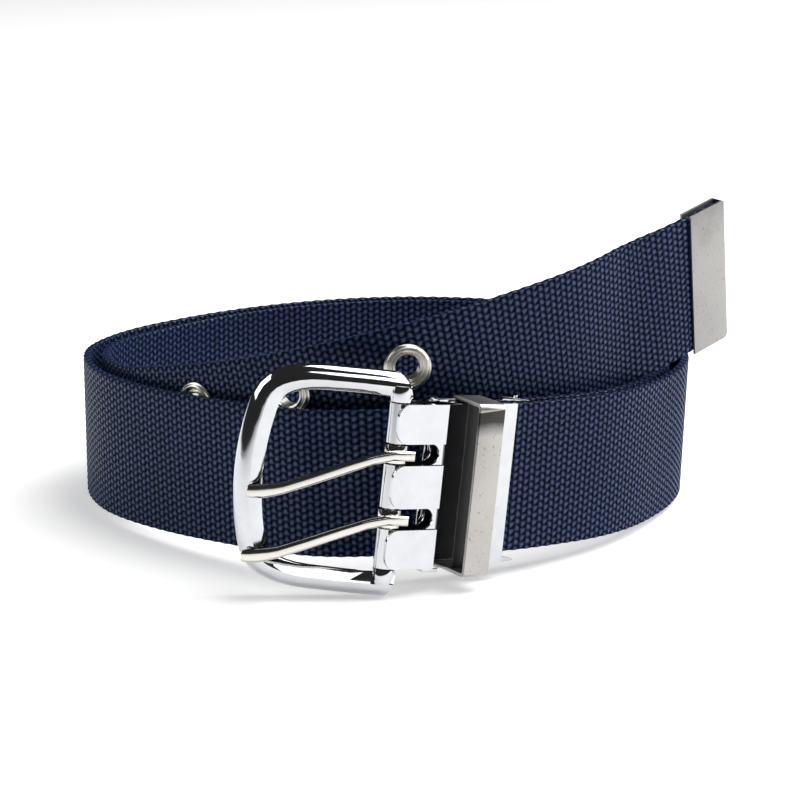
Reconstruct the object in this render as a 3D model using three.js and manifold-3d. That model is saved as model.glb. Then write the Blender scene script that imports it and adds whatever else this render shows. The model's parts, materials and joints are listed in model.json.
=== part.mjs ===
// A coiled webbing belt with metal eyelets, a folded end tip and a two-prong buckle.
// Millimetres, +Z up. The coil lies on its edge, with the buckle at its front, towards -Y.
import * as THREE from 'three';
import { mergeVertices } from 'three/addons/utils/BufferGeometryUtils.js';
import Module from 'manifold-3d';

const wasm = await Module();
wasm.setup();

// Webbing
const webbingWidth = 38;
const webbingThickness = 1.8;
const selvageBevel = 0.4;
const coilRadius = 80;
const stationStep = 4.5;

// Metal that touches or turns keeps these gaps
const seatGap = 0.3;
const runningGap = 0.35;

// Eyelets
const eyeletDiameter = 12;
const eyeletHole = 6.4;
const eyeletWall = 0.5;
const eyeletRim = 0.8;
const eyeletSeat = 0.65;
const eyeletSpacing = 31;
const eyeletColumns = 4;
const eyeletRowSpacing = 17.5;
const eyeletRowDrop = 10.7;
const firstEyeletFromEnd = 104;

// Folded tip at the free end
const tipLength = 14;
const tipHeight = 39.5;
const tipSheet = 0.6;
const tipCorner = 1.4;

// Clamp that grips the other end, folded from sheet round the buckle's pivot bar
const clampLength = 36;
const clampHeight = 41.4;
const clampSheet = 0.9;
const clampDrop = 1.5;
const tonguePad = 0.6;
const tongueCorner = 3.2;
const slotWidth = 5.4;
const slotReach = 13.8;
const prongSpacing = 16.2;
const creaseStart = 15;
const creaseLength = 6.5;
const gripInset = 15.5;

// Lever plate behind the clamp
const leverStart = 12.5;
const leverReach = 3.5;
const leverFlare = 1;
const leverSplay = 1.2;
const leverEarStart = 13;
const leverEarLength = 4.5;
const leverTabReach = 6.5;
const leverTabHeight = 1.4;

// Keeper that stands on the clamp
const keeperWidth = 7.1;
const keeperSheet = 0.9;
const keeperStart = 20.6;
const keeperStand = 7;
const keeperCorner = 1.6;

// Frame with its pivot bar
const barRadius = 1.6;
const frameReach = 35.5;
const frameHalfHeight = 25;
const frameBarWidth = 7.1;
const frameArmWidth = 6.1;
const frameCorner = 6;
const frameHeel = 2.8;
const lugRadius = 2.8;
const frameDepth = 4.4;
const frameTurn = 31.5;

// Prongs
const prongWidth = 3;
const prongThickness = 1.8;
const prongLoopWidth = 4.4;
const prongTail = 4.8;
const prongDrop = 12.6;
const prongTipInset = 0.2;

// Route of the webbing from the clamp to the tip, turning left to right past the front.
// turn: degrees past the front; reach: share of coilRadius; lift: share of webbingWidth
// that the lower edge is raised; lean: degrees that the upper edge tips outwards.
const route = [
  { turn: 8.5, reach: 1.076, lift: 0.237, lean: -1 },
  { turn: 22.4, reach: 1.006, lift: 0.166, lean: -1 },
  { turn: 34, reach: 0.976, lift: 0.13, lean: 0 },
  { turn: 46, reach: 0.966, lift: 0.095, lean: 1 },
  { turn: 66, reach: 0.959, lift: 0.046, lean: 2 },
  { turn: 78, reach: 0.98, lift: 0.032, lean: 2.5 },
  { turn: 94, reach: 1.012, lift: 0.016, lean: 2.5 },
  { turn: 134, reach: 1.025, lift: 0, lean: 1 },
  { turn: 152, reach: 1.018, lift: 0, lean: 0 },
  { turn: 178, reach: 0.973, lift: 0, lean: 0 },
  { turn: 204, reach: 0.938, lift: 0, lean: 0 },
  { turn: 228, reach: 0.953, lift: 0, lean: 0 },
  { turn: 252, reach: 1.013, lift: 0.011, lean: 0 },
  { turn: 265, reach: 1.025, lift: 0.02, lean: 0.5 },
  { turn: 284, reach: 0.983, lift: 0.037, lean: 0 },
  { turn: 305, reach: 0.92, lift: 0.063, lean: 0 },
  { turn: 320, reach: 0.908, lift: 0.089, lean: 0 },
  { turn: 331, reach: 0.924, lift: 0.108, lean: 0 },
  { turn: 340, reach: 0.958, lift: 0.124, lean: 0 },
  { turn: 348, reach: 0.979, lift: 0.137, lean: 0 },
  { turn: 358, reach: 0.985, lift: 0.156, lean: 0 },
  { turn: 371, reach: 0.956, lift: 0.157, lean: 0 },
  { turn: 384, reach: 0.924, lift: 0.15, lean: 0 },
  { turn: 408, reach: 0.924, lift: 0.092, lean: 1 },
  { turn: 434, reach: 0.927, lift: 0.038, lean: 2 },
  { turn: 462, reach: 0.96, lift: 0.012, lean: 1 },
  { turn: 494, reach: 0.97, lift: 0, lean: 0 },
  { turn: 524, reach: 0.948, lift: 0, lean: 0 },
  { turn: 550, reach: 0.898, lift: 0, lean: 0 },
  { turn: 576, reach: 0.88, lift: 0, lean: 0 },
  { turn: 600, reach: 0.895, lift: 0.01, lean: 0 },
  { turn: 620, reach: 0.95, lift: 0.037, lean: 0 },
  { turn: 631, reach: 0.955, lift: 0.053, lean: 0 },
  { turn: 652, reach: 0.906, lift: 0.108, lean: 0 },
  { turn: 661, reach: 0.882, lift: 0.168, lean: 0 },
  { turn: 670, reach: 0.864, lift: 0.23, lean: 0 },
  { turn: 682, reach: 0.857, lift: 0.313, lean: 0 },
  { turn: 693, reach: 0.87, lift: 0.4, lean: 0 },
  { turn: 708, reach: 0.897, lift: 0.536, lean: 0 },
  { turn: 724.5, reach: 0.907, lift: 0.688, lean: 0.5 },
  { turn: 734, reach: 0.899, lift: 0.764, lean: 1 },
  { turn: 748, reach: 0.88, lift: 0.858, lean: 2 },
  { turn: 763, reach: 0.879, lift: 0.945, lean: 3 },
  { turn: 776.7, reach: 0.89, lift: 1.022, lean: 4 },
  { turn: 783.1, reach: 0.923, lift: 1.063, lean: 4.5 },
  { turn: 789.2, reach: 0.982, lift: 1.12, lean: 5 },
  { turn: 794, reach: 1.032, lift: 1.167, lean: 5 },
  { turn: 801.5, reach: 1.118, lift: 1.234, lean: 5 },
];

// Centre line of the frame's rim from the bar round to the outer bar: shares of
// frameReach and frameHalfHeight, and width as a share of the way from arm to outer bar.
const rim = [
  { reach: -0.12, rise: 1, width: 0 },
  { reach: 0, rise: 1.005, width: 0 },
  { reach: 0.14, rise: 1.01, width: 0 },
  { reach: 0.33, rise: 1.01, width: 0 },
  { reach: 0.7, rise: 0.98, width: 0.3 },
  { reach: 0.886, rise: 0.85, width: 0.8 },
  { reach: 0.96, rise: 0.55, width: 1 },
  { reach: 1, rise: 0, width: 1 },
];

const radians = THREE.MathUtils.degToRad;
const up = new THREE.Vector3(0, 0, 1);

// A smooth value between the rows of a table, with slopes taken from the rows either side
function smooth(rows, key, column, at) {
  const last = rows.length - 1;
  let i = 0;
  while (i < last - 1 && rows[i + 1][key] < at) i += 1;
  const slope = (k) => {
    const a = rows[Math.max(k - 1, 0)];
    const b = rows[Math.min(k + 1, last)];
    return (b[column] - a[column]) / (b[key] - a[key]);
  };
  const span = rows[i + 1][key] - rows[i][key];
  const t = (at - rows[i][key]) / span;
  const t2 = t * t;
  const t3 = t2 * t;
  return (2 * t3 - 3 * t2 + 1) * rows[i][column] + (t3 - 2 * t2 + t) * span * slope(i)
    + (3 * t2 - 2 * t3) * rows[i + 1][column] + (t3 - t2) * span * slope(i + 1);
}

// A closed solid skinned over rings of points that all have the same count
function loft(rings) {
  const count = rings[0].length;
  const positions = rings.flat().flatMap((p) => [p.x, p.y, p.z]);
  const index = [];
  for (let r = 0; r + 1 < rings.length; r += 1) {
    for (let k = 0; k < count; k += 1) {
      const a = r * count + k;
      const b = r * count + ((k + 1) % count);
      index.push(a, b, b + count, a, b + count, a + count);
    }
  }
  const end = (rings.length - 1) * count;
  for (let k = 1; k + 1 < count; k += 1) {
    index.push(0, k + 1, k);
    index.push(end, end + k, end + k + 1);
  }
  const geometry = new THREE.BufferGeometry();
  geometry.setAttribute('position', new THREE.Float32BufferAttribute(positions, 3));
  geometry.setIndex(index);
  return geometry;
}

function solid(geometry) {
  const bare = geometry.clone();
  bare.deleteAttribute('normal');
  bare.deleteAttribute('uv');
  const merged = mergeVertices(bare, 1e-4);
  return new wasm.Manifold(new wasm.Mesh({
    numProp: 3,
    vertProperties: new Float32Array(merged.attributes.position.array),
    triVerts: new Uint32Array(merged.index.array),
  }));
}

function fromSolid(body) {
  const mesh = body.getMesh();
  const geometry = new THREE.BufferGeometry();
  geometry.setAttribute('position', new THREE.BufferAttribute(mesh.vertProperties, 3));
  geometry.setIndex(new THREE.BufferAttribute(mesh.triVerts, 1));
  return geometry;
}

function join(first, ...others) {
  return fromSolid(others.reduce((body, other) => body.add(solid(other)), solid(first)));
}

function cut(first, ...others) {
  return fromSolid(others.reduce((body, other) => body.subtract(solid(other)), solid(first)));
}

// A box from its lowest and highest corners
function block(x0, x1, y0, y1, z0, z1) {
  const box = new THREE.BoxGeometry(x1 - x0, y1 - y0, z1 - z0);
  return box.translate((x0 + x1) / 2, (y0 + y1) / 2, (z0 + z1) / 2);
}

// An outline in the XY plane raised from z0 to z1
function raised(outline, z0, z1, curveSegments = 6) {
  const settings = { depth: z1 - z0, bevelEnabled: false, curveSegments };
  return new THREE.ExtrudeGeometry(outline, settings).translate(0, 0, z0);
}

// A rectangle with a radius for each corner, from low left round to high left
function rounded(x0, x1, y0, y1, lowLeft, lowRight, highRight, highLeft) {
  const quarter = Math.PI / 2;
  const shape = new THREE.Shape();
  const corner = (x, y, radius, start) => {
    if (radius > 0) shape.absarc(x, y, radius, start, start + quarter, false);
    else shape.lineTo(x, y);
  };
  shape.moveTo(x0 + lowLeft, y0);
  corner(x1 - lowRight, y0 + lowRight, lowRight, -quarter);
  corner(x1 - highRight, y1 - highRight, highRight, 0);
  corner(x0 + highLeft, y1 - highLeft, highLeft, quarter);
  corner(x0 + lowLeft, y0 + lowLeft, lowLeft, Math.PI);
  return shape;
}

// The same outline stood up in the XZ plane, from y0 to y1
function stood(outline, y0, y1, curveSegments = 6) {
  return raised(outline, -y1, -y0, curveSegments).rotateX(Math.PI / 2);
}

function routePoint(turn) {
  const reach = coilRadius * smooth(route, 'turn', 'reach', turn);
  const angle = radians(turn);
  const height = webbingWidth * (0.5 + smooth(route, 'turn', 'lift', turn));
  return new THREE.Vector3(reach * Math.sin(angle), -reach * Math.cos(angle), height);
}

// The webbing's centre line as points with their distance from the clamped end.
// It is straight where the clamp grips it and inside the tip.
const line = [];
{
  const straightEnd = route[1].turn;
  const grip = [routePoint(route[0].turn), routePoint(straightEnd)];
  line.push({ point: grip[0], lean: route[0].lean, distance: 0 });
  const turns = [];
  const tipStart = route[route.length - 2].turn;
  for (let turn = straightEnd; turn < tipStart; turn += 0.5) turns.push(turn);
  turns.push(tipStart, route[route.length - 1].turn);
  for (const turn of turns) {
    const point = routePoint(turn);
    const before = line[line.length - 1];
    const distance = before.distance + point.distanceTo(before.point);
    line.push({ point, lean: smooth(route, 'turn', 'lean', turn), distance });
  }
}
const webbingLength = line[line.length - 1].distance;
const gripLength = line[1].distance;
const tipRunStart = line[line.length - 2].distance;

// Position and axes at a distance along the webbing: along, inwards and up
function webbingAt(distance) {
  const along = THREE.MathUtils.clamp(distance, 0, webbingLength);
  const find = (d) => {
    let i = 0;
    while (i < line.length - 2 && line[i + 1].distance < d) i += 1;
    const t = (d - line[i].distance) / (line[i + 1].distance - line[i].distance);
    return {
      point: line[i].point.clone().lerp(line[i + 1].point, t),
      lean: THREE.MathUtils.lerp(line[i].lean, line[i + 1].lean, t),
    };
  };
  const reach = along < gripLength ? 0 : 2;
  const back = find(Math.max(along - reach, 0));
  const ahead = find(Math.min(along + Math.max(reach, 1), webbingLength));
  const here = find(along);
  const tangent = ahead.point.clone().sub(back.point).normalize();
  if (along > tipRunStart) {
    tangent.copy(line[line.length - 1].point).sub(line[line.length - 2].point).normalize();
  }
  const level = up.clone().addScaledVector(tangent, -up.dot(tangent)).normalize();
  const outwards = tangent.clone().cross(level);
  const lean = radians(here.lean);
  const rise = level.clone().multiplyScalar(Math.cos(lean));
  rise.addScaledVector(outwards, Math.sin(lean));
  const inwards = rise.clone().cross(tangent);
  const axes = new THREE.Matrix4().makeBasis(tangent, inwards, rise);
  return axes.setPosition(here.point);
}

// Section of the webbing: a flat strip with its selvages bevelled
function webbingRing(distance) {
  const t = webbingThickness / 2;
  const w = webbingWidth / 2;
  const b = selvageBevel;
  const outline = [
    [-t, -w + b], [-t, w - b], [-t + b, w], [t - b, w],
    [t, w - b], [t, -w + b], [t - b, -w], [-t + b, -w],
  ];
  const axes = webbingAt(distance);
  return outline.map(([y, z]) => new THREE.Vector3(0, y, z).applyMatrix4(axes)).reverse();
}

function eyeletPlaces() {
  const places = [];
  for (let column = 0; column < eyeletColumns; column += 1) {
    const distance = webbingLength - firstEyeletFromEnd - column * eyeletSpacing;
    for (const row of ['upper', 'lower']) {
      const high = webbingWidth / 2 - eyeletRowDrop;
      const height = row === 'upper' ? high : high - eyeletRowSpacing;
      const shift = new THREE.Matrix4().makeTranslation(0, 0, height);
      places.push({ name: `eyelet_${row}_${column + 1}`, axes: webbingAt(distance).multiply(shift) });
    }
  }
  return places;
}

function webbingStrap() {
  const steps = Math.ceil((webbingLength - gripLength) / stationStep);
  const rings = [webbingRing(0)];
  for (let i = 0; i <= steps; i += 1) {
    rings.push(webbingRing(gripLength + (webbingLength - gripLength) * i / steps));
  }
  const drills = eyeletPlaces().map(({ axes }) => {
    const radius = eyeletHole / 2 + eyeletWall + seatGap;
    return new THREE.CylinderGeometry(radius, radius, 4 * webbingThickness, 20).applyMatrix4(axes);
  });
  return cut(loft(rings), ...drills);
}

// A turned eyelet: rolled rim in front, barrel through the webbing, flat washer behind
function eyelet() {
  const hole = eyeletHole / 2;
  const edge = eyeletDiameter / 2;
  const face = webbingThickness / 2 + eyeletSeat;
  const barrel = hole + eyeletWall;
  const profile = [
    [hole, -face - 0.7 * eyeletRim], [hole + 0.5 * eyeletRim, -face - eyeletRim],
    [hole + eyeletRim, -face - 0.75 * eyeletRim], [edge - 1.2 * eyeletRim, -face - 0.75 * eyeletRim],
    [edge - 0.6 * eyeletRim, -face - eyeletRim], [edge, -face - 0.4 * eyeletRim], [edge, -face],
    [barrel, -face], [barrel, face], [edge - eyeletRim, face], [edge - eyeletRim, face + eyeletWall],
    [hole, face + eyeletWall], [hole, -face - 0.7 * eyeletRim],
  ];
  return new THREE.LatheGeometry(profile.map(([r, y]) => new THREE.Vector2(r, y)), 16);
}

// Sheet folded over the strap's free end
function strapTip() {
  const inner = webbingThickness / 2 + seatGap;
  const outer = inner + tipSheet;
  const end = tipLength - seatGap - tipSheet;
  const h = tipHeight / 2;
  const fold = rounded(-end, tipLength - end, -h, h, 0, tipCorner, tipCorner / 2, 0);
  return cut(stood(fold, -outer, outer), block(-end - 1, seatGap, -inner, inner, -h - 1, h + 1));
}

// Places in the clamp, from the strap's clamped end and its middle plane
const clampFace = webbingThickness / 2 + seatGap + clampSheet;
const barX = barRadius + runningGap + clampSheet - gripInset;
const rollRadius = barRadius + runningGap + clampSheet;
const clampRight = clampLength - gripInset;
const tongueFace = rollRadius + tonguePad;
const leverFace = clampFace + seatGap;
const slotEnd = slotReach - gripInset;
const prongRows = [['upper', prongSpacing / 2], ['lower', -prongSpacing / 2]];

function slotCutter(z) {
  const left = barX - rollRadius - 1;
  const slot = rounded(left, slotEnd, z - slotWidth / 2, z + slotWidth / 2, 0,
    slotWidth / 2 - 0.01, slotWidth / 2 - 0.01, 0);
  return stood(slot, -tongueFace - 1, leverFace + clampSheet + 1);
}

// Folded clamp: back plate, rolls round the bar and a front plate with a crease
function clamp() {
  const h = clampHeight / 2;
  const crease = creaseStart - gripInset;
  const creaseEnd = crease + creaseLength;
  const inner = clampFace - clampSheet;
  const jog = leverStart - gripInset - 1;
  const profile = new THREE.Shape();
  profile.moveTo(clampRight, clampFace);
  profile.lineTo(jog, clampFace);
  profile.lineTo(barX, rollRadius);
  profile.absarc(barX, 0, rollRadius, Math.PI / 2, 3 * Math.PI / 2, false);
  profile.lineTo(crease, -rollRadius);
  profile.lineTo(creaseEnd, -clampFace);
  profile.lineTo(clampRight, -clampFace);
  profile.lineTo(clampRight, -inner);
  profile.lineTo(creaseEnd, -inner);
  profile.lineTo(crease, -rollRadius + clampSheet);
  profile.lineTo(barX, -rollRadius + clampSheet);
  profile.absarc(barX, 0, rollRadius - clampSheet, 3 * Math.PI / 2, Math.PI / 2, true);
  profile.lineTo(jog, inner);
  profile.lineTo(clampRight, inner);
  const body = raised(profile, -h, h, 12);
  const padStart = barX - rollRadius + 0.8;
  const pads = [-1, 0, 1].map((k) => {
    const top = k === 1 ? h : k * prongSpacing + (prongSpacing - slotWidth) / 2;
    const low = k === -1 ? -h : k * prongSpacing - (prongSpacing - slotWidth) / 2;
    return stood(rounded(padStart, crease, low, top, tongueCorner, 0, 0, tongueCorner),
      -tongueFace, -rollRadius + 0.4);
  });
  return cut(join(body, ...pads), ...prongRows.map(([, z]) => slotCutter(z)));
}

// Lever plate that lies against the clamp's back, with an ear over each edge
function lever() {
  const h = clampHeight / 2;
  const start = leverStart - gripInset;
  const end = clampRight + leverReach;
  const back = leverFace + clampSheet;
  const plan = new THREE.Shape();
  plan.moveTo(start, leverFace);
  plan.lineTo(clampRight, leverFace);
  plan.lineTo(end, leverFace + leverSplay);
  plan.lineTo(end, back + leverSplay);
  plan.lineTo(clampRight, back);
  plan.lineTo(start, back);
  const plate = raised(plan, -h, h);
  const lip = new THREE.Shape();
  lip.moveTo(end - 1.5, leverFace + leverSplay * 0.7);
  lip.lineTo(end, leverFace + leverSplay);
  lip.lineTo(end, back + leverSplay);
  lip.lineTo(end - 1.5, back + leverSplay * 0.7);
  const flare = raised(lip, -h - leverFlare, h + leverFlare);
  const earStart = leverEarStart - gripInset;
  const ears = [-1, 1].map((side) => {
    const near = side * (h - clampSheet);
    const far = side * (h + seatGap + clampSheet);
    const root = block(earStart, earStart + leverEarLength, leverFace + 0.1,
      leverFace + clampSheet, Math.min(near, far), Math.max(near, far));
    const edge = side * (h + seatGap);
    const ear = block(earStart, earStart + leverEarLength, -clampFace + 0.4,
      leverFace + clampSheet, Math.min(edge, far), Math.max(edge, far));
    return join(root, ear);
  });
  const tabs = [-1, 1].map((side) => {
    const tab = new THREE.Shape();
    tab.moveTo(clampRight - 2, side * (h - leverTabHeight));
    tab.lineTo(clampRight + leverTabReach, side * (h - leverTabHeight / 2));
    tab.lineTo(clampRight + leverTabReach, side * h);
    tab.lineTo(clampRight - 2, side * (h + leverFlare));
    return stood(tab, leverFace, leverFace + clampSheet);
  });
  return join(plate, flare, ...ears, ...tabs);
}

// Rectangular loop of strip round the clamp, standing clear in front of it
function keeper() {
  const start = keeperStart - gripInset;
  const innerHigh = clampHeight / 2 + seatGap;
  const innerBack = leverFace + clampSheet + seatGap;
  const front = -clampFace - keeperStand;
  const s = keeperSheet;
  const c = keeperCorner;
  const outside = rounded(front, innerBack + s, -innerHigh - s, innerHigh + s, c, c, c, c);
  const inside = rounded(front + s, innerBack, -innerHigh, innerHigh, c - s, c - s, c - s, c - s);
  outside.holes.push(inside);
  const loop = raised(outside, 0, keeperWidth);
  const axes = new THREE.Matrix4().makeBasis(
    new THREE.Vector3(0, 1, 0), new THREE.Vector3(0, 0, 1), new THREE.Vector3(1, 0, 0));
  return loop.applyMatrix4(axes).translate(start, 0, 0);
}

// Frame in its own axes: the bar on Z through the origin, the rim towards -X, its face to -Y
function frame() {
  const outline = rim.map((row) => ({
    x: -row.reach * frameReach,
    z: row.rise * frameHalfHeight,
    width: THREE.MathUtils.lerp(frameArmWidth, frameBarWidth, row.width),
  }));
  const whole = outline.concat(outline.slice(0, -1).reverse().map((p) => ({ ...p, z: -p.z })));
  const curve = new THREE.CatmullRomCurve3(whole.map((p) => new THREE.Vector3(p.x, p.width, p.z)),
    false, 'centripetal');
  const steps = 52;
  const rings = [];
  for (let i = 0; i <= steps; i += 1) {
    const at = curve.getPoint(i / steps);
    const ahead = curve.getTangent(i / steps);
    ahead.y = 0;
    ahead.normalize();
    const outwards = new THREE.Vector3(ahead.z, 0, -ahead.x);
    const half = at.y / 2;
    const d = frameDepth / 2;
    const section = [
      [-half, -0.3 * d], [-0.15 * half, -d], [0.25 * half, -0.93 * d], [0.6 * half, -0.65 * d],
      [0.88 * half, -0.1 * d], [half, 0.35 * d], [0.8 * half, d], [-0.8 * half, d], [-half, 0.5 * d],
    ];
    rings.push(section.map(([across, depth]) => new THREE.Vector3(at.x, depth, at.z)
      .addScaledVector(outwards, across)));
  }
  const edge = frameHalfHeight * rim[2].rise + frameArmWidth / 2;
  const heel = stood(rounded(-2 * frameReach, frameHeel, -edge - 1, edge, 0, frameCorner,
    frameCorner, 0), -frameDepth, frameDepth, 10);
  const bar = new THREE.CylinderGeometry(barRadius, barRadius, 2 * frameHalfHeight, 20)
    .rotateX(Math.PI / 2);
  const lugs = [-1, 1].map((side) => {
    const foot = clampHeight / 2 + runningGap;
    const lug = new THREE.CylinderGeometry(lugRadius, lugRadius, frameHalfHeight - foot, 20);
    return lug.rotateX(Math.PI / 2).translate(0, 0, side * (frameHalfHeight + foot) / 2);
  });
  const trimmed = fromSolid(solid(loft(rings)).intersect(solid(heel)));
  return join(trimmed, bar, ...lugs);
}

// Prong in the frame's axes: a loop on the bar and a bowed tongue that drops to one side
function prong() {
  const loopOuter = barRadius + runningGap + 1.1;
  const w = prongLoopWidth / 2;
  const loop = raised(new THREE.Shape().absarc(0, 0, loopOuter, 0, 2 * Math.PI, false), -w, w, 10);
  const bore = raised(new THREE.Shape().absarc(0, 0, barRadius + runningGap, 0, 2 * Math.PI, false),
    -w - 1, w + 1, 10);
  const tip = frameReach - prongTipInset;
  const rest = frameDepth / 2 + seatGap;
  const onBar = barRadius + runningGap;
  const path = [
    { x: prongTail, drop: 0, y: onBar - 0.1, width: 0.8, thick: 0.85 },
    { x: 0, drop: 0.01, y: onBar + 0.2, width: 0.86, thick: 1 },
    { x: -0.14 * tip, drop: 0.11, y: onBar + 1, width: 0.9, thick: 1 },
    { x: -0.37 * tip, drop: 0.38, y: rest + 1.2, width: 1, thick: 1 },
    { x: -0.57 * tip, drop: 0.63, y: rest + 1.3, width: 1, thick: 1 },
    { x: -0.75 * tip, drop: 0.855, y: rest + 0.7, width: 1, thick: 1 },
    { x: -0.81 * tip, drop: 0.915, y: rest + 0.1, width: 1.05, thick: 1 },
    { x: -0.88 * tip, drop: 0.965, y: rest, width: 1.12, thick: 1 },
    { x: -0.97 * tip, drop: 0.995, y: rest, width: 1.05, thick: 0.95 },
    { x: -tip, drop: 1, y: rest + 0.2, width: 0.8, thick: 0.7 },
  ];
  const rings = path.map((p) => {
    const half = prongWidth * p.width / 2;
    const side = -p.drop * prongDrop;
    const low = p.y;
    const high = p.y + prongThickness * p.thick;
    const b = 0.3 * prongThickness * p.thick;
    return [
      [-high, -half + b], [-high, half - b], [-high + b, half], [-low, half],
      [-low, -half], [-high + b, -half],
    ].map(([y, z]) => new THREE.Vector3(p.x, y, z + side));
  });
  return cut(join(loft(rings), loop), bore);
}

function finish(colour, roughness, metalness) {
  return new THREE.MeshStandardMaterial({ color: colour, roughness, metalness, flatShading: true });
}

function piece(name, geometry, material) {
  const mesh = new THREE.Mesh(geometry, material);
  mesh.name = name;
  return mesh;
}

function placed(axes) {
  const group = new THREE.Group();
  group.applyMatrix4(axes);
  return group;
}

const navyWebbing = finish(0x1c2644, 0.85, 0);
const chrome = finish(0xd9dcdf, 0.12, 1);
const nickel = finish(0xb9b4af, 0.35, 1);

const belt = new THREE.Group();
belt.add(piece('webbing_strap', webbingStrap(), navyWebbing));

for (const { name, axes } of eyeletPlaces()) {
  const seat = placed(axes);
  seat.add(piece(name, eyelet(), nickel));
  belt.add(seat);
}

const freeEnd = placed(webbingAt(webbingLength));
freeEnd.add(piece('strap_tip', strapTip(), nickel));
belt.add(freeEnd);

const buckle = placed(webbingAt(0).multiply(new THREE.Matrix4().makeTranslation(0, 0, -clampDrop)));
buckle.add(piece('clamp', clamp(), chrome));
buckle.add(piece('clamp_lever', lever(), chrome));
buckle.add(piece('keeper_loop', keeper(), nickel));

const swing = new THREE.Group();
swing.position.set(barX, 0, 0);
swing.rotation.z = -radians(frameTurn);
swing.add(piece('buckle_frame', frame(), chrome));
for (const [row, height] of prongRows) {
  const tongue = piece(`prong_${row}`, prong(), nickel);
  tongue.position.z = height;
  swing.add(tongue);
}
buckle.add(swing);
belt.add(buckle);

// Stand the belt on its lowest point, with its own box centred on the origin
belt.updateMatrixWorld(true);
const bounds = new THREE.Box3().setFromObject(belt, true);
const centre = bounds.getCenter(new THREE.Vector3());
belt.position.set(-centre.x, -centre.y, -bounds.min.z);
belt.updateMatrixWorld(true);

export default belt;
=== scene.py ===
# A coiled canvas web belt with metal eyelets, a folded tip and a clamped frame buckle.
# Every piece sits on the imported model, in metres, with the floor at the height of its origin.
import json
import math

import bpy
from mathutils import Matrix, Vector

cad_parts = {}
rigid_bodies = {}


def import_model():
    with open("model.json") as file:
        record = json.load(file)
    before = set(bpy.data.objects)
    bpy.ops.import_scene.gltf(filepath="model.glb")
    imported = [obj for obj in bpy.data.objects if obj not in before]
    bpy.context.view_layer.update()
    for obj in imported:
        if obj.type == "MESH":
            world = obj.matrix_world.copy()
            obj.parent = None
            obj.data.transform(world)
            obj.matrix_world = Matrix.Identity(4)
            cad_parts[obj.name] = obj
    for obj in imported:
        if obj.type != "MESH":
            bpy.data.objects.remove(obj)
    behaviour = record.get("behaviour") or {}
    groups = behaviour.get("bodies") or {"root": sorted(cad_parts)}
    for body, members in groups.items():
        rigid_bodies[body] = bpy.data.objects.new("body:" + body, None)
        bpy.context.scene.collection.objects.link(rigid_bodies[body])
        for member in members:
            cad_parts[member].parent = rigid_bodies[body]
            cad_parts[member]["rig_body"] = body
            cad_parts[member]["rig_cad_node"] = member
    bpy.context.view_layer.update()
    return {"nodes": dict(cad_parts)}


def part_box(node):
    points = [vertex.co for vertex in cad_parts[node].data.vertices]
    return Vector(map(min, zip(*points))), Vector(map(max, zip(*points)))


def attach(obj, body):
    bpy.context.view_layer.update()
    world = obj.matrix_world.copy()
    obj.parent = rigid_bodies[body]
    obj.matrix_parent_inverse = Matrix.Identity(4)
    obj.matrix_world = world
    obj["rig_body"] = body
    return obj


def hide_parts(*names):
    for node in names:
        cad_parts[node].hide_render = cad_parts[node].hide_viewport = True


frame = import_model()

# Webbing
# One strip of navy cotton canvas in plain weave, with a rounded selvage along each edge.
# It starts in the clamp, coils round twice on its edge and rises over the front to the tip.
mm = 0.001
webbing_width = 38 * mm
webbing_thickness = 1.8 * mm
coil_radius = 80 * mm
pick_pitch = 1.75 * mm
end_pitch = 0.91 * mm
tangent_span = 2 * mm
merge_distance = 1e-6

# Columns: degrees past the front, share of coil_radius, share of webbing_width that the
# lower edge is raised, and degrees that the upper edge tips outwards
route = [
    (8.5, 1.076, 0.237, -1), (22.4, 1.006, 0.166, -1), (34, 0.976, 0.13, 0), (46, 0.966, 0.095, 1),
    (66, 0.959, 0.046, 2), (78, 0.98, 0.032, 2.5), (94, 1.012, 0.016, 2.5), (134, 1.025, 0, 1),
    (152, 1.018, 0, 0), (178, 0.973, 0, 0), (204, 0.938, 0, 0), (228, 0.953, 0, 0),
    (252, 1.013, 0.011, 0), (265, 1.025, 0.02, 0.5), (284, 0.983, 0.037, 0), (305, 0.92, 0.063, 0),
    (320, 0.908, 0.089, 0), (331, 0.924, 0.108, 0), (340, 0.958, 0.124, 0), (348, 0.979, 0.137, 0),
    (358, 0.985, 0.156, 0), (371, 0.956, 0.157, 0), (384, 0.924, 0.15, 0), (408, 0.924, 0.092, 1),
    (434, 0.927, 0.038, 2), (462, 0.96, 0.012, 1), (494, 0.97, 0, 0), (524, 0.948, 0, 0),
    (550, 0.898, 0, 0), (576, 0.88, 0, 0), (600, 0.895, 0.01, 0), (620, 0.95, 0.037, 0),
    (631, 0.955, 0.053, 0), (652, 0.906, 0.108, 0), (661, 0.882, 0.168, 0), (670, 0.864, 0.23, 0),
    (682, 0.857, 0.313, 0), (693, 0.87, 0.4, 0), (708, 0.897, 0.536, 0), (724.5, 0.907, 0.688, 0.5),
    (734, 0.899, 0.764, 1), (748, 0.88, 0.858, 2), (763, 0.879, 0.945, 3), (776.7, 0.89, 1.022, 4),
    (783.1, 0.923, 1.063, 4.5), (789.2, 0.982, 1.12, 5), (794, 1.032, 1.167, 5),
    (801.5, 1.118, 1.234, 5),
]


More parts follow.
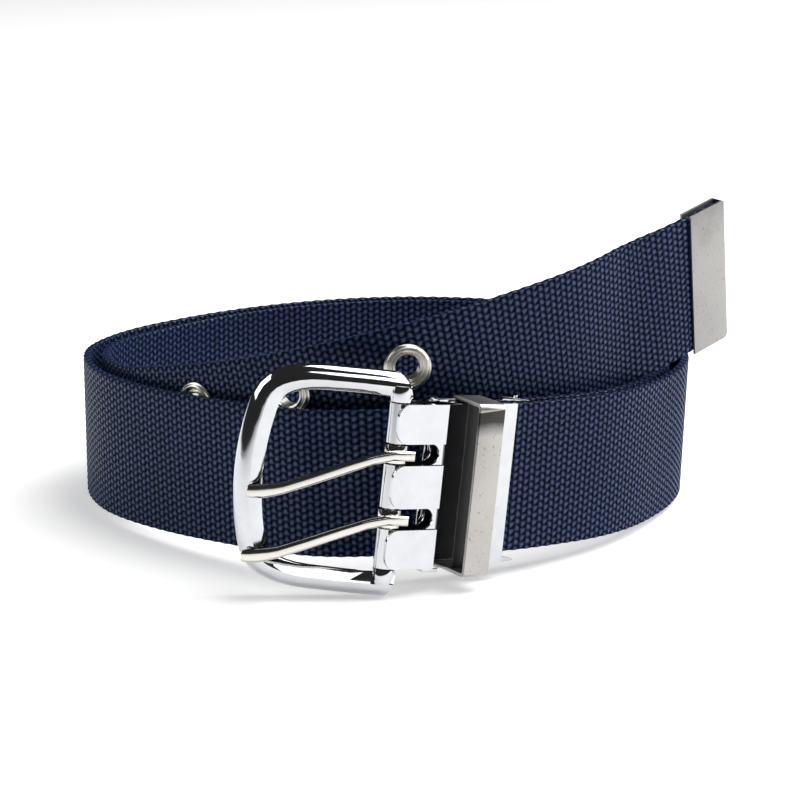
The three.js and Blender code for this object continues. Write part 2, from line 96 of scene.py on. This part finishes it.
def smooth(rows, column, at):
    """A value between the rows of a table, with slopes taken from the rows either side"""
    last = len(rows) - 1
    i = 0
    while i < last - 1 and rows[i + 1][0] < at:
        i += 1

    def slope(k):
        a = rows[max(k - 1, 0)]
        b = rows[min(k + 1, last)]
        return (b[column] - a[column]) / (b[0] - a[0])

    span = rows[i + 1][0] - rows[i][0]
    t = (at - rows[i][0]) / span
    rise = 3 * t * t - 2 * t ** 3
    start = (t ** 3 - 2 * t * t + t) * span * slope(i)
    return (1 - rise) * rows[i][column] + start + rise * rows[i + 1][column] \
        + (t ** 3 - t * t) * span * slope(i + 1)


def route_point(turn):
    reach = coil_radius * smooth(route, 1, turn)
    height = webbing_width * (0.5 + smooth(route, 2, turn))
    angle = math.radians(turn)
    return Vector((reach * math.sin(angle), -reach * math.cos(angle), height))


# The centre line as points with their lean and their distance from the clamped end. It is
# straight in the clamp and in the tip, and has two points for each degree between them.
line = [(route_point(route[0][0]), route[0][3], 0.0)]
turns = [route[1][0] + 0.5 * k for k in range(int((route[-2][0] - route[1][0]) * 2) + 1)]
for turn in turns + [route[-2][0], route[-1][0]]:
    point = route_point(turn)
    step = (point - line[-1][0]).length
    if step > 1e-9:
        line.append((point, smooth(route, 3, turn), line[-1][2] + step))
webbing_length = line[-1][2]
grip_length = line[1][2]
tip_run_start = line[-2][2]


def webbing_at(distance):
    """Place and axes at a distance along the webbing: along, inwards and up"""
    along = min(max(distance, 0), webbing_length)

    def find(d):
        low, high = 0, len(line) - 2
        while low < high:
            middle = (low + high) // 2
            if line[middle + 1][2] < d:
                low = middle + 1
            else:
                high = middle
        a, b = line[low], line[low + 1]
        t = (d - a[2]) / (b[2] - a[2])
        return a[0].lerp(b[0], t), a[1] + (b[1] - a[1]) * t

    reach = 0 if along < grip_length else tangent_span
    back = find(max(along - reach, 0))[0]
    ahead = find(min(along + max(reach, 1 * mm), webbing_length))[0]
    here, lean = find(along)
    tangent = (ahead - back).normalized()
    if along > tip_run_start:
        tangent = (line[-1][0] - line[-2][0]).normalized()
    up = Vector((0, 0, 1))
    level = (up - tangent * up.dot(tangent)).normalized()
    outwards = tangent.cross(level)
    rise = level * math.cos(math.radians(lean)) + outwards * math.sin(math.radians(lean))
    inwards = rise.cross(tangent)
    axes = Matrix((tangent, inwards, rise)).transposed().to_4x4()
    axes.translation = here
    return axes


def edit(piece, *steps):
    """Runs mesh operators on all of one piece in edit mode"""
    bpy.ops.object.select_all(action="DESELECT")
    bpy.context.view_layer.objects.active = piece
    piece.select_set(True)
    bpy.ops.object.mode_set(mode="EDIT")
    bpy.ops.mesh.select_all(action="SELECT")
    for step, settings in steps:
        getattr(bpy.ops.mesh, step)(**settings)
    bpy.ops.object.mode_set(mode="OBJECT")


def skin(name, long_way, round_way, place, thread=None):
    """A grid wrapped over the points that place gives, with its seams merged and its ends filled"""
    bpy.ops.object.select_all(action="DESELECT")
    bpy.ops.mesh.primitive_grid_add(x_subdivisions=long_way, y_subdivisions=round_way, size=1)
    piece = bpy.context.object
    piece.name = name
    mesh = piece.data
    cells = [(round((v.co.x + 0.5) * long_way), round((v.co.y + 0.5) * round_way))
             for v in mesh.vertices]
    for vertex, cell in zip(mesh.vertices, cells):
        vertex.co = place(*cell)
    if thread:
        layer = mesh.uv_layers[0]
        layer.name = "Thread"
        for corner in mesh.loops:
            layer.data[corner.index].uv = thread(*cells[corner.vertex_index])
    edit(piece, ("remove_doubles", {"threshold": merge_distance}), ("fill_holes", {"sides": 0}),
         ("normals_make_consistent", {"inside": False}))
    return piece


def shape(piece, kind, **settings):
    """Adds a modifier and applies it"""
    bpy.ops.object.select_all(action="DESELECT")
    bpy.context.view_layer.objects.active = piece
    piece.select_set(True)
    modifier = piece.modifiers.new(kind.title(), kind)
    for name, value in settings.items():
        setattr(modifier, name, value)
    bpy.ops.object.modifier_apply(modifier=modifier.name)


def soften(piece, degrees):
    bpy.ops.object.select_all(action="DESELECT")
    bpy.context.view_layer.objects.active = piece
    piece.select_set(True)
    bpy.ops.object.shade_smooth_by_angle(angle=math.radians(degrees))


class Strand:
    """An output socket in a material, with arithmetic that adds its Math nodes"""

    def __init__(self, tree, socket=None):
        self.tree = tree
        self.socket = socket

    def node(self, kind, inputs=None, output=0, stops=None, **settings):
        made = self.tree.nodes.new(kind)
        for name, value in settings.items():
            setattr(made, name, value)
        if stops:
            ramp = made.color_ramp
            while len(ramp.elements) < len(stops):
                ramp.elements.new(1)
            for element, (position, value) in zip(ramp.elements, stops):
                element.position = position
                element.color = (*value, 1) if isinstance(value, tuple) else (value, value, value, 1)
        for name, value in (inputs or {}).items():
            if isinstance(value, Strand):
                self.tree.links.new(value.socket, made.inputs[name])
            else:
                made.inputs[name].default_value = value
        return Strand(self.tree, made.outputs[output] if made.outputs else None)

    def maths(self, operation, *values):
        return self.node("ShaderNodeMath", dict(enumerate(values)), operation=operation)

    def __add__(self, other):
        return self.maths("ADD", self, other)

    __radd__ = __add__

    def __sub__(self, other):
        return self.maths("SUBTRACT", self, other)

    def __rsub__(self, other):
        return self.maths("SUBTRACT", other, self)

    def __mul__(self, other):
        return self.maths("MULTIPLY", self, other)

    __rmul__ = __mul__

    def __pow__(self, other):
        return self.maths("POWER", self, other)

    def colour(self, factor, first, second, blend="MIX"):
        """Mixes two colours by a factor"""
        inputs = {0: factor, 6: first, 7: second}
        return self.node("ShaderNodeMix", inputs, 2, data_type="RGBA", blend_type=blend)

    def surface(self, **inputs):
        """A Principled surface into the material's output"""
        named = {name.replace("_", " "): value for name, value in inputs.items()}
        shader = self.node("ShaderNodeBsdfPrincipled", named)
        self.node("ShaderNodeOutputMaterial", {"Surface": shader})


def finish(name):
    """A new material and a start for its nodes"""
    material = bpy.data.materials.new(name)
    material.use_nodes = True
    material.node_tree.nodes.clear()
    return material, Strand(material.node_tree)


def dress(piece, material, body):
    """Gives a piece its material and the body that carries it"""
    piece.data.materials.clear()
    piece.data.materials.append(material)
    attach(piece, body)


gripped_picks = 9


def canvas():
    """Each crossing is a drop-shaped knuckle, wide end up in one column and down in the next. Its
    crown is painted lighter and the gaps between knuckles darker, as painted highlight and painted
    shade. The picks inside the clamp are painted near black as painted shade."""
    material, start = finish("navy_canvas")
    uv = start.node("ShaderNodeUVMap", uv_map="Thread")
    pick = start.node("ShaderNodeSeparateXYZ", {0: uv}, 0)
    end = start.node("ShaderNodeSeparateXYZ", {0: uv}, 1)
    column = pick.maths("ROUND", pick)
    odd = column.maths("FLOORED_MODULO", column, 2.0)
    side = pick - column
    turn = end * -0.5 + odd * 0.5 + 0.5
    rise = turn.maths("FRACT", turn) - 0.5
    turned = 1 - odd * 2
    middle = rise * (turned * 0.17 - 0.08)
    width = turned * rise * 0.34 + 0.44
    off = (side - middle) * width ** -1.0
    ridge = off.maths("MAXIMUM", 1 - off * off, 0.0) ** 0.55
    length = rise.maths("COSINE", rise * math.pi) ** 0.5
    knuckle = ridge * length
    place = start.node("ShaderNodeMapping", {"Vector": uv, "Scale": (7, 1.2, 1)})
    fibre = start.node("ShaderNodeTexNoise", {"Vector": place, "Scale": 1.4, "Detail": 3.0})
    body = start.node("ShaderNodeTexCoord", output=3)
    cloud = start.node("ShaderNodeTexNoise", {"Vector": body, "Scale": 45.0, "Detail": 3.0})
    yarn = start.node("ShaderNodeTexNoise", {"Vector": uv, "Scale": 0.7, "Detail": 1.0})
    lift = knuckle + fibre * 0.22 + yarn * 0.12
    # The knuckle paints the crowns lighter and the gaps darker: painted highlight and painted shade.
    # The fibre, cloud and yarn noise vary the navy's own tone.
    shade = knuckle * 0.78 + fibre * 0.16 + cloud * 0.14 + yarn * 0.18 - 0.16
    tone = start.node("ShaderNodeValToRGB", {0: shade}, stops=[
        (0.0, (0.001, 0.002, 0.008)), (0.35, (0.005, 0.01, 0.03)), (0.7, (0.021, 0.036, 0.096)),
        (1.0, (0.068, 0.106, 0.235)),
    ])
    # The picks inside the clamp are painted near black: painted shade.
    gripped = pick.maths("LESS_THAN", pick, float(gripped_picks))
    tone = start.colour(gripped * 0.8, tone, (0.001, 0.001, 0.002, 1))
    relief = start.node("ShaderNodeBump", {"Strength": 1.0, "Distance": 0.55 * mm, "Height": lift})
    start.surface(Base_Color=tone, Roughness=0.66 + 0.1 * fibre, Normal=relief,
                  Coat_Weight=knuckle ** 3.0 * 0.55, Coat_Roughness=0.27, Specular_IOR_Level=0.04)
    return material


# Points round the section with their count of ends: one for each end on a face, and a
# rounded selvage above and below
faces_ends = round(webbing_width / end_pitch)
half_thick = webbing_thickness / 2
half_wide = webbing_width / 2
face_height = (faces_ends - 1) / 2 * end_pitch
corner = webbing_width / 2 - face_height
selvage_steps = 6
selvage_fullness = 0.7
section = []
for side in (-1, 1):
    first_end = (side > 0) * (faces_ends + 2)
    for k in range(faces_ends):
        height = k * end_pitch - face_height
        section.append((side * half_thick, -side * height, k + first_end))
    for k in range(1, selvage_steps):
        angle = math.pi * k / selvage_steps
        height = face_height + corner * math.sin(angle) ** selvage_fullness
        section.append((side * half_thick * math.cos(angle), -side * height,
                        faces_ends - 1 + k / 2 + first_end))
stations = 2 * round(webbing_length / pick_pitch / 2)
station_axes = [webbing_at(webbing_length * i / stations) for i in range(stations + 1)]
weave_relief = 0.15 * mm
selvage_relief = 0.1 * mm


def webbing_point(i, k):
    """Each warp end rises over every other pick, so neighbouring crossings rise in turn"""
    y, z, end = section[k % len(section)]
    lift = 1 + weave_relief / half_thick * math.cos(math.pi * (i + end))
    on_selvage = abs(z) > face_height + 1e-5
    edge_lift = 1 + selvage_relief / half_wide * math.cos(math.pi * i) * on_selvage
    return station_axes[i] @ Vector((0, y * lift, z * edge_lift))


def webbing_thread(i, k):
    """Picks and ends, counted from the clamped end and round the section"""
    end = section[k][2] if k < len(section) else 2 * faces_ends + 4
    return (i, end)


webbing = skin("webbing", stations, len(section), webbing_point, webbing_thread)
low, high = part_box("webbing_strap")
points = [v.co for v in webbing.data.vertices]
own_low = Vector([min(p[k] for p in points) for k in range(3)])
own_high = Vector([max(p[k] for p in points) for k in range(3)])
stand = Matrix.Translation((low + high - own_low - own_high) / 2)
webbing.data.transform(stand)
soften(webbing, 60)
navy_canvas = canvas()
dress(webbing, navy_canvas, "belt")
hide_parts("webbing_strap")

# Eyelets
# Two rows of turned nickel eyelets, pressed through the webbing and rolled over at the front.
# A barrel lines each hole, and a flat washer closes it on the inner face.
eyelet_hole = 6.4 * mm
eyelet_edge = 12 * mm
eyelet_wall = 0.5 * mm
eyelet_rim = 0.8 * mm
eyelet_seat = 0.65 * mm
eyelet_spacing = 31 * mm
eyelet_row_spacing = 17.5 * mm
eyelet_row_drop = 10.7 * mm
first_eyelet_from_end = 104 * mm
eyelet_columns = 4
rolled_radius = 5.1 * mm
rolled_width = 0.52 * mm
lip_radius = 3.7 * mm
lip_width = 0.26 * mm
ring_steps = 26
round_steps = 48
punch_depth = 6 * mm


def eyelet_axes(row, column):
    distance = webbing_length - first_eyelet_from_end - (column - 1) * eyelet_spacing
    height = webbing_width / 2 - eyelet_row_drop - (eyelet_row_spacing if row == "lower" else 0)
    return stand @ webbing_at(distance) @ Matrix.Translation((0, 0, height))


def satin_nickel(name, tint, dull, grain):
    material, start = finish(name)
    body = start.node("ShaderNodeTexCoord", output=3)
    fine = start.node("ShaderNodeTexNoise", {"Vector": body, "Scale": grain, "Detail": 3.0})
    cloud = start.node("ShaderNodeTexNoise", {"Vector": body, "Scale": 90.0, "Detail": 2.0})
    tone = start.colour(cloud, tuple(0.86 * c for c in tint) + (1,), tint + (1,))
    relief = start.node("ShaderNodeBump", {"Strength": 0.1, "Distance": 0.01 * mm, "Height": fine})
    start.surface(Base_Color=tone, Metallic=1.0, Roughness=dull + 0.07 * fine + 0.06 * cloud,
                  Normal=relief)
    return material


eyelet_nickel = satin_nickel("eyelet_nickel", (0.68, 0.66, 0.61), 0.22, 1500.0)
hole = eyelet_hole / 2
edge = eyelet_edge / 2
face = webbing_thickness / 2 + eyelet_seat
barrel = hole + eyelet_wall
turned_profile = [(hole, face + eyelet_wall)]
for k in range(ring_steps + 1):
    radius = hole + (edge - hole) * k / ring_steps
    rolled = math.exp(-((radius - rolled_radius) / rolled_width) ** 2)
    lip = math.exp(-((radius - lip_radius) / lip_width) ** 2)
    turned_profile.append((radius, -face - eyelet_rim * (0.08 + 0.92 * rolled + 0.6 * lip)))
turned_profile += [(edge - 0.15 * mm, -face), (barrel, -face), (barrel, face),
                   (edge - eyelet_rim, face), (edge - eyelet_rim, face + eyelet_wall)]


def eyelet_point(i, k):
    radius, depth = turned_profile[k % len(turned_profile)]
    angle = 2 * math.pi * (i % round_steps) / round_steps
    return Vector((radius * math.cos(angle), depth, radius * math.sin(angle)))


for row in ("upper", "lower"):
    for column in range(1, eyelet_columns + 1):
        name = f"eyelet_{row}_{column}_turned"
        eyelet = skin(name, round_steps, len(turned_profile), eyelet_point)
        eyelet.data.transform(eyelet_axes(row, column))
        soften(eyelet, 50)
        dress(eyelet, eyelet_nickel, "belt")
        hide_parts(f"eyelet_{row}_{column}")

# The webbing is punched a little wider than each barrel
bpy.ops.object.select_all(action="DESELECT")
punches = []
for row in ("upper", "lower"):
    for column in range(1, eyelet_columns + 1):
        bpy.ops.mesh.primitive_cylinder_add(
            vertices=32, radius=barrel + 0.05 * mm, depth=punch_depth,
            rotation=(math.pi / 2, 0, 0))
        punch = bpy.context.object
        punch.data.transform(eyelet_axes(row, column) @ punch.matrix_world)
        punch.matrix_world = Matrix.Identity(4)
        punches.append(punch)
for punch in punches:
    punch.select_set(True)
bpy.context.view_layer.objects.active = punches[0]
bpy.ops.object.join()
shape(webbing, "BOOLEAN", object=punches[0], operation="DIFFERENCE", solver="EXACT")
bpy.data.objects.remove(punches[0])


# Clamp, lever and keeper
# Folded sheet steel, plated bright. The clamp is rolled round the frame's bar and pressed
# down on the webbing, the lever plate lies behind it and the keeper stands round both.
clamp_bevel = 0.18 * mm
sheet_bevel = 0.15 * mm
sheet_smoothing = 35
# The clamp's band under the keeper is painted near black: a painted reflection of the keeper's dark
# underside.
reflection_band_from_end = 7.6 * mm
reflection_band_half_width = 1.5 * mm
# The keeper's top is painted near black over this length: a painted reflection.
keeper_reflection_top = 45.6 * mm
keeper_reflection_length = 6.5 * mm


def metal_copy(node, name, bevel, degrees):
    """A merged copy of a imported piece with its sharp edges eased"""
    piece = frame["nodes"][node].copy()
    piece.data = piece.data.copy()
    piece.name = name
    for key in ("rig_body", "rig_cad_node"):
        del piece[key]
    piece.parent = None
    bpy.context.scene.collection.objects.link(piece)
    edit(piece, ("remove_doubles", {"threshold": merge_distance}), ("tris_convert_to_quads", {}),
         ("dissolve_limited", {"angle_limit": math.radians(0.5)}))
    shape(piece, "BEVEL", width=bevel, segments=2, limit_method="ANGLE",
          angle_limit=math.radians(32), harden_normals=False)
    soften(piece, degrees)
    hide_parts(node)
    return piece


def bright_chrome(name, reflection_band=None):
    """Mirror plating with a faint waviness. The optional band across a piece is rougher and painted
    near black, a painted reflection of the keeper's dark underside; it is given as its place, the way
    along the piece and half its width."""
    material, start = finish(name)
    body = start.node("ShaderNodeTexCoord", output=3)
    sway = start.node("ShaderNodeTexNoise", {"Vector": body, "Scale": 55.0, "Detail": 1.0})
    haze = start.node("ShaderNodeTexNoise", {"Vector": body, "Scale": 240.0, "Detail": 5.0})
    tone = start.colour(haze, (0.51, 0.52, 0.54, 1), (0.64, 0.65, 0.67, 1))
    dull = 0.03 + 0.06 * haze
    if reflection_band:
        place, along, half_width = reflection_band
        offset = start.node("ShaderNodeVectorMath", {0: body, 1: place}, operation="SUBTRACT")
        across = start.node("ShaderNodeVectorMath", {0: offset, 1: along}, 1, operation="DOT_PRODUCT")
        band = 1.5 - across.maths("ABSOLUTE", across) * (1 / half_width) + (haze - 0.5) * 0.3
        band = band.maths("MINIMUM", band.maths("MAXIMUM", band * 2, 0.0), 1.0)
        # The band is painted near black: painted reflection. Its added roughness is real.
        tone = start.colour(band * 0.98, tone, (0.03, 0.03, 0.03, 1))
        dull = dull + band * 0.3
    relief = start.node("ShaderNodeBump", {"Strength": 0.2, "Distance": 0.3 * mm, "Height": sway})
    start.surface(Base_Color=tone, Metallic=1.0, Roughness=dull, Normal=relief)
    return material


def brushed_nickel(name, light, dark_patch_top, dark_patch_length):
    """Brushed up and down, with fine pits and a darker patch that ends at the given top height. On
    the keeper this patch is a painted reflection.
    """
    material, start = finish(name)
    body = start.node("ShaderNodeTexCoord", output=3)
    stretched = start.node("ShaderNodeMapping", {"Vector": body, "Scale": (1, 1, 0.05)})
    lines = start.node("ShaderNodeTexNoise", {"Vector": stretched, "Scale": 3600.0, "Detail": 3.0})
    cloud = start.node("ShaderNodeTexNoise", {"Vector": body, "Scale": 95.0, "Detail": 5.0})
    pits = start.node("ShaderNodeTexNoise", {"Vector": body, "Scale": 1300.0, "Detail": 1.0})
    spots = start.node("ShaderNodeValToRGB", {0: pits}, stops=[(0.26, 1.0), (0.33, 0.0)])
    height = start.node("ShaderNodeSeparateXYZ", {0: body}, 2)
    rise = (height - (dark_patch_top - dark_patch_length)) * (1.8 / dark_patch_length) + cloud - 0.5
    rise = rise.maths("MAXIMUM", rise.maths("MINIMUM", rise, 1.0), 0.0)
    patch = rise * rise.maths("LESS_THAN", height, dark_patch_top)
    near = start.colour(cloud, tuple(0.72 * c for c in light) + (1,), light + (1,))
    worn = start.colour(spots * 0.5, near, (0.09, 0.085, 0.08, 1))
    # The patch is painted near black: on the keeper a painted reflection, on the tip a darker top.
    tone = start.colour(patch * 0.92, worn, (0.02, 0.019, 0.018, 1))
    relief = start.node("ShaderNodeBump", {
        "Strength": 0.3, "Distance": 0.02 * mm, "Height": lines - spots})
    start.surface(Base_Color=tone, Metallic=1.0, Roughness=0.22 + 0.16 * lines + 0.1 * cloud,
                  Normal=relief)
    return material


def painted_shade_lining():
    """The unpolished inner side of the sheet: dark oxide, painted down to near black as painted
    shade, with faint rolling marks
    """
    material, start = finish("painted_shade_lining")
    body = start.node("ShaderNodeTexCoord", output=3)
    cloud = start.node("ShaderNodeTexNoise", {"Vector": body, "Scale": 220.0, "Detail": 5.0})
    tone = start.colour(cloud, (0.004, 0.004, 0.004, 1), (0.02, 0.019, 0.018, 1))
    relief = start.node("ShaderNodeBump", {"Strength": 0.3, "Distance": 0.03 * mm, "Height": cloud})
    start.surface(Base_Color=tone, Metallic=0.3, Roughness=0.4 + 0.3 * cloud, Normal=relief)
    return material


def line_inside(piece, centre, flat_ways, material):
    """A second finish on the faces that look towards a centre, seen across the flat ways"""
    piece.data.materials.append(material)
    for face in piece.data.polygons:
        inwards = centre - face.center
        for way in flat_ways:
            inwards -= way * inwards.dot(way)
        if face.normal.dot(inwards.normalized()) > 0.35:
            face.material_index = 1


chrome = bright_chrome("bright_chrome")
clamp_axes = stand @ webbing_at(0)
loop_axis = clamp_axes.to_3x3().col[0]
clamp_rise = clamp_axes.to_3x3().col[2]
# Near-black lining for the inner faces of the clamp and keeper: dark oxide deepened by painted shade.
steel = painted_shade_lining()
# Place of the clamp's band painted near black as a painted reflection of the keeper's underside.
reflection_band_place = clamp_axes @ Vector((reflection_band_from_end, 0, 0))
clamp_chrome = bright_chrome("clamp_chrome", (reflection_band_place, loop_axis, reflection_band_half_width))
# The keeper's dark top is a painted reflection.
keeper_nickel = brushed_nickel("keeper_nickel", (0.53, 0.51, 0.49), keeper_reflection_top,
                               keeper_reflection_length)
clamp = metal_copy("clamp", "clamp_sheet", clamp_bevel, sheet_smoothing)
dress(clamp, clamp_chrome, "belt")
# The clamp's inner faces get the near-black lining: painted shade.
line_inside(clamp, clamp_axes.translation, (loop_axis, clamp_rise), steel)
shape(clamp, "WEIGHTED_NORMAL", keep_sharp=True)
lever = metal_copy("clamp_lever", "lever_plate", sheet_bevel, sheet_smoothing)
dress(lever, chrome, "belt")
keeper = metal_copy("keeper_loop", "keeper_strip", sheet_bevel, sheet_smoothing)
dress(keeper, keeper_nickel, "belt")
low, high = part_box("keeper_loop")
# The keeper's inner faces get the near-black lining: painted shade.
line_inside(keeper, (low + high) / 2, (loop_axis,), steel)

# Tip
# Thin nickel sheet folded over the cut end of the webbing and pressed flat, with sharp folds and a
# slot along its open side. It has small pits, and its top is a little darker.
tip_dark_patch_top = 150 * mm
tip_dark_patch_length = 75 * mm
tip = metal_copy("strap_tip", "tip_sheet", sheet_bevel, sheet_smoothing)
tip_nickel = brushed_nickel("tip_nickel", (0.37, 0.36, 0.35), tip_dark_patch_top, tip_dark_patch_length)
dress(tip, tip_nickel, "belt")

# Buckle frame
# One casting: a domed rim with a bevel round its inner edge, and a round bar across its
# right side, on which it swings. It is polished and chrome plated.
cast_bevel = 0.1 * mm
cast_smoothing = 50
rim = metal_copy("buckle_frame", "frame_casting", cast_bevel, cast_smoothing)
dress(rim, chrome, "frame")

# Prongs
# Two bowed steel tongues, each with a loop that turns on the bar and a blunt tip that
# rests on the outer rim. They are plated a little warmer than the frame.
prong_steel = satin_nickel("prong_steel", (0.7, 0.68, 0.64), 0.02, 900.0)
for row in ("upper", "lower"):
    prong = metal_copy(f"prong_{row}", f"prong_{row}_tongue", sheet_bevel, cast_smoothing)
    dress(prong, prong_steel, f"{row}_prong")

# Studio
# A pale seamless floor under soft light, seen from the height and distance of the photograph.
# The front card shows only in reflections.
floor_size = 12
photo_width = 800
focal_length_in_pixels = 3224
sensor_width = 36
bpy.ops.object.select_all(action="DESELECT")
bpy.ops.mesh.primitive_grid_add(x_subdivisions=8, y_subdivisions=8, size=floor_size)
floor = bpy.context.object
floor.name = "floor"
paper, start = finish("seamless_paper")
start.surface(Base_Color=(0.9, 0.9, 0.9, 1), Roughness=0.9, Specular_IOR_Level=0.1,
              Emission_Color=(1, 1, 1, 1), Emission_Strength=0.36)
floor.data.materials.append(paper)


def softbox(name, place, aim, size, power):
    lamp = bpy.data.lights.new(name, "AREA")
    lamp.shape = "RECTANGLE"
    lamp.size, lamp.size_y = size
    lamp.energy = power
    box = bpy.data.objects.new(name, lamp)
    box.location = place
    box.rotation_euler = (Vector(aim) - Vector(place)).to_track_quat("-Z", "Y").to_euler()
    bpy.context.scene.collection.objects.link(box)
    return box


softbox("overhead_box", (0.57, 0.25, 1.1), (0.05, 0, 0), (1.1, 1.3), 21)
softbox("right_box", (1.1, 0.1, 0.55), (0, 0, 0.04), (0.8, 0.9), 7)
softbox("left_box", (-1.1, 0.1, 0.7), (0, 0, 0.04), (0.8, 0.8), 7)
front_card = softbox("front_card", (0.32, -0.78, 0.96), (-0.05, 0, 0.04), (0.8, 0.56), 4.5)
front_card.visible_diffuse = False
world = bpy.data.worlds.new("studio")
bpy.context.scene.world = world
world.use_nodes = True
world.node_tree.nodes["Background"].inputs[0].default_value = (1, 1, 1, 1)
world.node_tree.nodes["Background"].inputs[1].default_value = 0.03
bpy.context.scene.view_settings.view_transform = "Standard"

camera = bpy.data.objects.new("camera", bpy.data.cameras.new("camera"))
camera.location = (-0.00072, -0.8445, 0.2441)
camera.rotation_euler = (math.radians(75.7), 0, 0)
camera.data.sensor_width = sensor_width
camera.data.lens = focal_length_in_pixels / photo_width * sensor_width
camera.data.clip_start = 0.05
bpy.context.scene.collection.objects.link(camera)
bpy.context.scene.camera = camera
